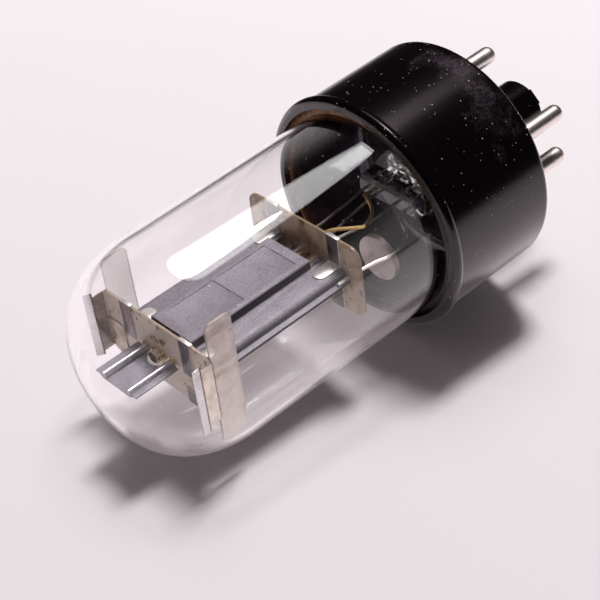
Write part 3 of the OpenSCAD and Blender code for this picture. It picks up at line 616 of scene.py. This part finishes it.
def finish_moulding(name, colour):
    """Black moulding with dust specks and hazy scuffs, glossier on its sides."""
    finish, tree, shader = new_finish(name)
    place = placed(tree, "upright").outputs["Place"]
    where = mottle(tree, place, per_mm=0.11, low=0.36, high=0.52)
    small = specks(tree, place, per_mm=2.4, share=0.36, size=0.17)
    large = specks(tree, place, per_mm=1.1, share=0.3, size=0.1)
    dust = reckon(tree, "MAXIMUM", large,
                  reckon(tree, "MULTIPLY", small, where.outputs["Mask"]))
    fine = grain(tree, place, (0.5, 0.5, 0.5, 1), per_mm=2.6, amount=2.2)
    scuff = mottle(tree, place, per_mm=0.1, low=0.46, high=0.78)
    grey = add(tree, "ShaderNodeSeparateColor", None, {0: fine.outputs["Color"]})
    broken = reckon(tree, "MULTIPLY", grey.outputs[0], scuff.outputs["Mask"])
    hazed = blend(
        tree, ramp(tree, broken, 0.15, 0.9), rgba(colour), rgba(BASE_HAZE))
    tree.links.new(
        blend(tree, dust, hazed, rgba(BASE_DUST)), shader.inputs["Base Color"])
    tree.links.new(
        ramp(tree, broken, 0.1, 0.8, 0.2, 0.45), shader.inputs["Roughness"])
    tree.links.new(
        facing(tree, (0, 0, 1), 0.25, 0.6, first=0.85, last=0.02),
        shader.inputs["Coat Weight"],
    )
    shader.inputs["Coat Roughness"].default_value = 0.16
    shader.inputs["Coat Tint"].default_value = (1.0, 0.9, 0.95, 1.0)
    shader.inputs["Specular IOR Level"].default_value = 0.13
    shader.inputs["Specular Tint"].default_value = (1.0, 0.78, 0.9, 1.0)
    bump(tree, shader, fine.outputs["Height"], strength=0.09, depth=0.03 * MM)
    return finish


def finish_cement(name):
    """Amber cement, rough and uneven, with painted shade on one side."""
    finish, tree, shader = new_finish(name)
    place = placed(tree, "upright").outputs["Place"]
    patches = mottle(tree, place, per_mm=0.4, low=0.4, high=0.65,
                     clean=rgba(CEMENT_AMBER), stained=rgba(CEMENT_STAIN))
    # painted shade: the cement darkens towards one side
    painted_lit_side = ramp(tree, along(tree, place, (0.35, 0.94, 0)), -2.0, 9.0)
    tree.links.new(
        blend(tree, painted_lit_side, rgba(CEMENT_PAINTED_SHADE), patches.outputs["Color"]),
        shader.inputs["Base Color"],
    )
    shader.inputs["Roughness"].default_value = 0.45
    bump(tree, shader, patches.outputs["Mask"], strength=0.5, depth=0.2 * MM)
    return finish


def finish_heater(name):
    """Chalky white coat."""
    finish, tree, shader = new_finish(name)
    place = placed(tree, "upright").outputs["Place"]
    chalk = grain(tree, place, rgba(HEATER_WHITE), per_mm=5.0, amount=0.3)
    tree.links.new(chalk.outputs["Color"], shader.inputs["Base Color"])
    shader.inputs["Roughness"].default_value = 0.8
    bump(tree, shader, chalk.outputs["Height"], strength=0.4, depth=0.05 * MM)
    return finish


def finish_floor(name, colour):
    """Pale paper. Rays that have met glass or gloss see it by a glow of its own, and
    the camera sees a glow that rises away from the tube."""
    finish, tree, shader = new_finish(name)
    place = add(tree, "ShaderNodeTexCoord").outputs["Object"]
    shade = [c * 0.985 for c in colour]
    paper = mottle(tree, place, per_mm=9.0, low=0.3, high=0.7,
                   clean=rgba(colour), stained=rgba(shade))
    rays = add(tree, "ShaderNodeLightPath")
    behind = ramp(tree, along(tree, place, (0.69, 0.72, 0)), 0.08, 0.13)
    beyond = reckon(tree, "MULTIPLY", behind, rays.outputs["Is Glossy Ray"])
    tree.links.new(
        blend(tree, beyond, paper.outputs["Color"], rgba(FLOOR_MIRRORED)),
        shader.inputs["Base Color"],
    )
    seen = reckon(tree, "MAXIMUM", rays.outputs["Is Transmission Ray"],
                  rays.outputs["Is Glossy Ray"])
    near = reckon(tree, "SUBTRACT", seen, beyond)
    rise = ramp(tree, reach(tree, place), 0.03, 0.5, 0.03, 0.9)
    direct = reckon(tree, "MULTIPLY", rise, rays.outputs["Is Camera Ray"])
    even = blend(tree, direct, (0, 0, 0, 1), rgba(colour))
    tree.links.new(
        blend(tree, near, even, rgba(FLOOR_GLOW)), shader.inputs["Emission Color"])
    shader.inputs["Emission Strength"].default_value = 1.0
    shader.inputs["Roughness"].default_value = 0.9
    shader.inputs["Specular IOR Level"].default_value = 0.1
    return finish


# ---- Sizes and colours to set --------------------------------------------
class TriodeSettings(PropertyGroup):
    glass_d: FloatProperty(
        name="Glass diameter", description="Outside diameter of the glass tube",
        default=0.028297, unit="LENGTH")
    glass_wall: FloatProperty(
        name="Glass wall", description="Thickness of the glass",
        default=0.0007, unit="LENGTH")
    glass_top: FloatProperty(
        name="Glass top", description="Height of the dome above the base's lower face",
        default=0.06077, unit="LENGTH")
    dome_h: FloatProperty(
        name="Dome height", description="Height of the rounded dome",
        default=0.014, unit="LENGTH")
    dome_form: FloatProperty(
        name="Dome form", description="Squareness of the dome, where 2 is an ellipse",
        default=2.4)
    film_top: FloatProperty(
        name="Film top", description="Height of the mirror film's upper edge",
        default=0.0172, unit="LENGTH")
    edge: FloatProperty(
        name="Sheet edge", description="Rounding of the pressed sheets' edges",
        default=0.00005, unit="LENGTH")
    floor_colour: FloatVectorProperty(
        name="Floor", description="Colour of the floor", subtype="COLOR",
        default=paint(241, 236, 238))
    anode_colour: FloatVectorProperty(
        name="Anode", description="Colour of the anode's grey coat", subtype="COLOR",
        default=(0.275, 0.245, 0.285))
    moulding_colour: FloatVectorProperty(
        name="Moulding", description="Colour of the base", subtype="COLOR",
        default=(0.003, 0.002, 0.0025))
    lamp_size: FloatProperty(
        name="Lamp size", description="Width of the main lamp across the tube",
        default=0.1, unit="LENGTH")
    lamp_power: FloatProperty(
        name="Lamp power", description="Power of the main lamp",
        default=2.32, unit="POWER")
    panel_power: FloatProperty(
        name="Panel power", description="Power of the wide lamp",
        default=0.6, unit="POWER")


def settings():
    """The scene's settings of the triode."""
    return bpy.context.scene.triode


# ---- Pieces --------------------------------------------------------------
def dome_outline(radius, top, tall, form):
    """Points of the dome's skin, from its shoulder to its top."""
    points = []
    for i in range(DOME_RINGS + 1):
        a = math.radians(90 * i / DOME_RINGS)
        r = 0 if i == DOME_RINGS else radius * math.cos(a) ** (2 / form)
        points.append((r, top - tall + tall * math.sin(a) ** (2 / form)))
    return points


def foot_outline(radius, lift):
    """Points of the glass's foot, from the seal ring to the straight tube."""
    points = []
    for i in range(FOOT_RINGS + 1):
        a = math.radians(90 * i / FOOT_RINGS)
        points.append((
            SEAL_R + (radius - SEAL_R) * math.sin(a),
            SEAL_Z + lift + (FOOT_H - lift) * (1 - math.cos(a)),
        ))
    return points


def glass_skin(s, inset):
    """Outline of the glass at a depth in its wall."""
    r = s.glass_d / 2 - inset
    straight = range(TUBE_FROM, int((s.glass_top - s.dome_h) / MM), TUBE_STEP)
    return (
        foot_outline(r, inset)
        + [(r, z * MM) for z in straight]
        + dome_outline(r, s.glass_top - inset, s.dome_h - inset, s.dome_form)
    )


class TRIODE_OT_glass(Operator):
    """Smooth glass envelope with its wall, and the stem's glass"""

    bl_idname = "triode.glass"
    bl_label = "Glass"

    def execute(self, context):
        s = settings()
        outline = glass_skin(s, 0) + glass_skin(s, s.glass_wall)[::-1]
        shell = spun(outline, "glass_envelope",
                     finish_glass("Clear Glass", CLEAR_TINT))
        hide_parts("glass_bulb")
        dress(finish_glass("Stem Glass", STEM_TINT, 0.9, 0.2), "glass_stem")
        return {"FINISHED"}


class TRIODE_OT_film(Operator):
    """Mirror film on the inside of the glass, near the base"""

    bl_idname = "triode.film"
    bl_label = "Mirror film"

    def execute(self, context):
        s = settings()
        r = s.glass_d / 2 - s.glass_wall - FILM_GAP
        skin = foot_outline(r, s.glass_wall + FILM_LIFT)[FILM_FROM:]
        skin += [(r, z * MM) for z in FILM_RINGS] + [(r, s.film_top + FILM_OVER)]
        back = [(a - FILM_THICK, b) for a, b in skin[::-1]]
        film = finish_film("Mirror Film", s.film_top / MM)
        spun(skin + back, "mirror_film", film)
        return {"FINISHED"}


class TRIODE_OT_base(Operator):
    """Moulded base and the cement round the glass"""

    bl_idname = "triode.base"
    bl_label = "Base"

    def execute(self, context):
        black = finish_moulding("Black Moulding", settings().moulding_colour)
        dress(black, "base_shell")
        dress(finish_cement("Amber Cement"), "base_cement")
        return {"FINISHED"}


class TRIODE_OT_pins(Operator):
    """Contact pins and their solder"""

    bl_idname = "triode.pins"
    bl_label = "Pins"

    def execute(self, context):
        dress(finish_metal("Pin Nickel"), "pin_2", "pin_3", "pin_5", "pin_7", "pin_8")
        dress(finish_metal("Solder"), "pin_solder")
        return {"FINISHED"}


class TRIODE_OT_mica(Operator):
    """Mica plates and the spacers that meet the glass"""

    bl_idname = "triode.mica"
    bl_label = "Mica"

    def execute(self, context):
        side = (LIE.to_3x3() @ Vector((1, 0, 0))).cross(UP)
        dress(finish_mica("Upper Mica", UP), "mica_upper")
        dress(finish_mica("Lower Mica", UP), "mica_lower")
        # the left spacer takes the copy of the mica with painted light
        dress(finish_mica("Painted Light Mica", side), "spacer_left")
        dress(finish_mica("Spacer Mica", side), "spacer_right")
        return {"FINISHED"}


class TRIODE_OT_sheets(Operator):
    """Brackets and straps of nickel sheet"""

    bl_idname = "triode.sheets"
    bl_label = "Brackets and straps"

    def execute(self, context):
        edge = settings().edge * 0.8
        plate = frame["nodes"]["mica_upper"].data.vertices
        fold = max((LIE.inverted() @ v.co).z for v in plate) / MM + FOLD_OVER
        # the left bracket takes the copy of the nickel with painted shade
        shaded = finish_metal("Painted Shade Nickel", fold=fold)
        softened("bracket_left", "left_bracket", shaded, edge)
        nickel = finish_metal("Bracket Nickel", fold=fold)
        softened("bracket_right", "right_bracket", nickel, edge)
        strip = finish_metal("Strap Nickel", painted_shade=STRAP_PAINTED_SHADE)
        softened("straps_upper", "upper_straps", strip, edge)
        softened("straps_lower", "lower_straps", strip, edge)
        return {"FINISHED"}


class TRIODE_OT_anode(Operator):
    """Pressed anode halves with a grey coat"""

    bl_idname = "triode.anode"
    bl_label = "Anode"

    def execute(self, context):
        s = settings()
        edge = s.edge * 1.4
        coat = finish_coat(
            "Grey Coat", s.anode_colour, [c * 0.8 for c in s.anode_colour],
            rough=0.6, metallic=0.15, wall_shade=0.9)
        softened("anode_front", "front_anode", coat, edge)
        softened("anode_back", "back_anode", coat, edge)
        return {"FINISHED"}


class TRIODE_OT_grid(Operator):
    """Grid, cooling fin, cathode, heater and eyelets"""

    bl_idname = "triode.grid"
    bl_label = "Grid and cathode"

    def execute(self, context):
        fin = finish_coat(
            "Fin Coat", FIN_GREY, FIN_SHADE, rough=0.58, metallic=0.35, wall_shade=0.0)
        softened("grid_fin", "cooling_fin", fin, settings().edge)
        dress(finish_metal("Rod Metal"), "grid_rod_left", "grid_rod_right")
        dress(finish_metal("Grid Wire"), "grid_winding")
        dress(finish_metal("Sleeve Nickel"), "cathode_sleeve")
        dress(finish_metal("Eyelet Brass"), "eyelets")
        dress(finish_heater("Heater Coating"), "heater")
        return {"FINISHED"}


class TRIODE_OT_leads(Operator):
    """Leads through the press and the getter dish"""

    bl_idname = "triode.leads"
    bl_label = "Leads and getter dish"

    def execute(self, context):
        dress(finish_metal("Lead Grey"), "lead_grid", "lead_heater_a", "lead_heater_b")
        dress(finish_metal("Lead Gold"), "lead_cathode")
        dress(finish_metal("Lead Bright"), "lead_anode")
        dress(finish_metal("Dish Nickel"), "getter_dish")
        return {"FINISHED"}


# ---- Stage ---------------------------------------------------------------
def lay_floor(colour):
    """Round floor that the tube lies on."""
    bm = bmesh.new()
    bmesh.ops.create_circle(bm, cap_ends=True, segments=96, radius=FLOOR_R)
    mesh = bpy.data.meshes.new("stage_floor")
    bm.to_mesh(mesh)
    bm.free()
    mesh.materials.append(finish_floor("Floor Paper", colour))
    floor = bpy.data.objects.new("stage_floor", mesh)
    bpy.context.scene.collection.objects.link(floor)


def soft_lamp(name, turn, height, far, wide, tall, power, shape="ELLIPSE"):
    """A flat lamp that faces the middle of the tube, turned and raised in degrees."""
    lamp = bpy.data.lights.new(name, "AREA")
    lamp.shape = shape
    lamp.size, lamp.size_y = wide, tall
    lamp.energy = power
    lamp.color = LAMP_WHITE
    az, el = math.radians(turn), math.radians(height)
    back = Vector((math.cos(el) * math.cos(az), math.cos(el) * math.sin(az),
                   math.sin(el)))
    across = Vector((1, 0, 0)) - back * back.x
    across.normalize()
    holder = bpy.data.objects.new(name, lamp)
    turned = Matrix((across, back.cross(across), back)).transposed().to_4x4()
    holder.matrix_world = Matrix.Translation(back * far) @ turned
    bpy.context.scene.collection.objects.link(holder)


def make_room(colour):
    """A room that is pale to the camera, dim to gloss, and fills from one side."""
    world = bpy.data.worlds.new("Room")
    world.use_nodes = True
    bpy.context.scene.world = world
    tree = world.node_tree
    tree.nodes.clear()
    rays = add(tree, "ShaderNodeLightPath")
    look = add(tree, "ShaderNodeTexCoord").outputs["Generated"]
    parts = add(tree, "ShaderNodeSeparateXYZ", None, {0: look})
    pale, dim = rgba(colour), rgba(ROOM_DIM)
    through = blend(tree, ramp(tree, parts.outputs[2], 0.3, 0.7), pale, dim)
    shown = blend(tree, rays.outputs["Is Transmission Ray"], dim, through)
    shown = blend(tree, rays.outputs["Is Camera Ray"], shown, pale)
    back = ramp(tree, along(tree, look, (0.5, 0.75, 0.43)), 0.0, 0.6)
    fill = blend(tree, back, rgba(FILL_DIM), rgba(FILL_PALE))
    light = blend(tree, rays.outputs["Is Diffuse Ray"], shown, fill)
    glow = add(tree, "ShaderNodeBackground", None, {0: light, 1: 1.0})
    out = add(tree, "ShaderNodeOutputWorld")
    tree.links.new(glow.outputs[0], out.inputs[0])


def place_camera():
    """The camera, where the photograph was taken."""
    scene = bpy.context.scene
    eye = bpy.data.cameras.new("photo_camera")
    eye.lens = LENS
    eye.sensor_width = 36
    eye.clip_start = 0.01
    camera = bpy.data.objects.new("photo_camera", eye)
    axes = (Vector(CAMERA_RIGHT), -Vector(CAMERA_DOWN), -Vector(CAMERA_AHEAD))
    turned = Matrix(axes).transposed().to_4x4()
    camera.matrix_world = Matrix.Translation(Vector(CAMERA_AT)) @ turned
    scene.collection.objects.link(camera)
    scene.camera = camera


class TRIODE_OT_stage(Operator):
    """Pale floor, soft lamps, dim room and the camera"""

    bl_idname = "triode.stage"
    bl_label = "Stage"

    def execute(self, context):
        s = settings()
        lay_floor(s.floor_colour)
        soft_lamp("main_lamp", turn=27, height=73.5, far=0.6, wide=s.lamp_size * 1.8,
                  tall=s.lamp_size, power=s.lamp_power)
        soft_lamp("panel_lamp", turn=41, height=68.5, far=0.51, wide=0.235,
                  tall=0.31, power=s.panel_power)
        soft_lamp("strip_lamp", turn=22, height=58, far=0.5, wide=0.06,
                  tall=0.1, power=s.panel_power * 0.07, shape="RECTANGLE")
        make_room(s.floor_colour)
        place_camera()
        context.scene.view_settings.view_transform = "Standard"
        return {"FINISHED"}


STEPS = (TRIODE_OT_stage, TRIODE_OT_glass, TRIODE_OT_film, TRIODE_OT_base,
         TRIODE_OT_pins, TRIODE_OT_mica, TRIODE_OT_sheets, TRIODE_OT_anode,
         TRIODE_OT_grid, TRIODE_OT_leads)


class TRIODE_PT_panel(Panel):
    """Sizes, colours and building steps of the triode"""

    bl_idname = "TRIODE_PT_panel"
    bl_label = "Triode"
    bl_space_type = "VIEW_3D"
    bl_region_type = "UI"
    bl_category = "Triode"

    def draw(self, context):
        for name in TriodeSettings.__annotations__:
            self.layout.prop(context.scene.triode, name)
        for step in STEPS:
            self.layout.operator(step.bl_idname)


CLASSES = (TriodeSettings, *STEPS, TRIODE_PT_panel)


def register():
    for one in CLASSES:
        bpy.utils.register_class(one)
    bpy.types.Scene.triode = PointerProperty(type=TriodeSettings)


def unregister():
    del bpy.types.Scene.triode
    for one in reversed(CLASSES):
        bpy.utils.unregister_class(one)


def main():
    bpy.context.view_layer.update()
    register()
    for step in STEPS:
        group, name = step.bl_idname.split(".")
        getattr(getattr(bpy.ops, group), name)()


if __name__ == "__main__":
    main()
